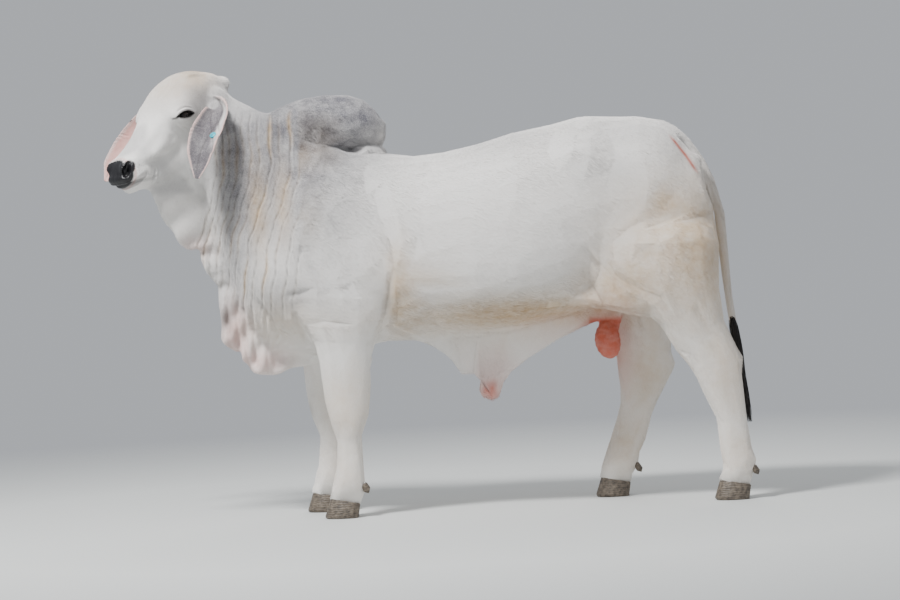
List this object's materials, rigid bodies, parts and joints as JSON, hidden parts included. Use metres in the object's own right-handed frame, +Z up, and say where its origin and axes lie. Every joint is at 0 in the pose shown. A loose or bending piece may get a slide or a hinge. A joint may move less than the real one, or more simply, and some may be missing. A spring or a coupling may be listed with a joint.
{
  "type": "brahman bull",
  "caption": "Life-size standing Brahman bull with hump, drooping ears, folded dewlap, hanging sheath, cloven hooves and a tasselled tail, head turned to its left.",
  "frame": {"origin": "on the ground, under the middle of the bull's plan", "axes": "+X towards the tail, +Y towards the bull's right side, +Z up"},
  "size_m": [2.5586, 0.749, 1.7973],
  "materials": {
    "hide": "short white hair shading to grey on the hump and neck",
    "bare_skin": "bare pink wrinkled skin",
    "switch_hair": "coarse black hair",
    "horn": "satin dark hoof horn",
    "eye": "wet dark brown eye",
    "tag_plastic": "smooth turquoise plastic"
  },
  "bodies": {
    "root": {"head": "hide", "neck": "hide", "hump": "hide", "chest": "hide", "barrel": "hide", "rump": "hide", "foreleg_left": "hide", "foreleg_right": "hide", "hindleg_left": "hide", "hindleg_right": "hide", "dewlap_throat": "hide", "dewlap_brisket": "hide", "sheath": "hide", "scrotum": "bare_skin", "tail": "hide", "tail_switch": "switch_hair", "ear_left": "hide", "ear_right": "hide", "ear_tag": "tag_plastic", "eye_left": "eye", "eye_right": "eye", "hoof_foreleg_left_outer": "horn", "dewclaw_foreleg_left_outer": "horn", "hoof_foreleg_left_inner": "horn", "dewclaw_foreleg_left_inner": "horn", "hoof_foreleg_right_outer": "horn", "dewclaw_foreleg_right_outer": "horn", "hoof_foreleg_right_inner": "horn", "dewclaw_foreleg_right_inner": "horn", "hoof_hindleg_left_outer": "horn", "dewclaw_hindleg_left_outer": "horn", "hoof_hindleg_left_inner": "horn", "dewclaw_hindleg_left_inner": "horn", "hoof_hindleg_right_outer": "horn", "dewclaw_hindleg_right_outer": "horn", "hoof_hindleg_right_inner": "horn", "dewclaw_hindleg_right_inner": "horn"}
  },
  "joints": []
}
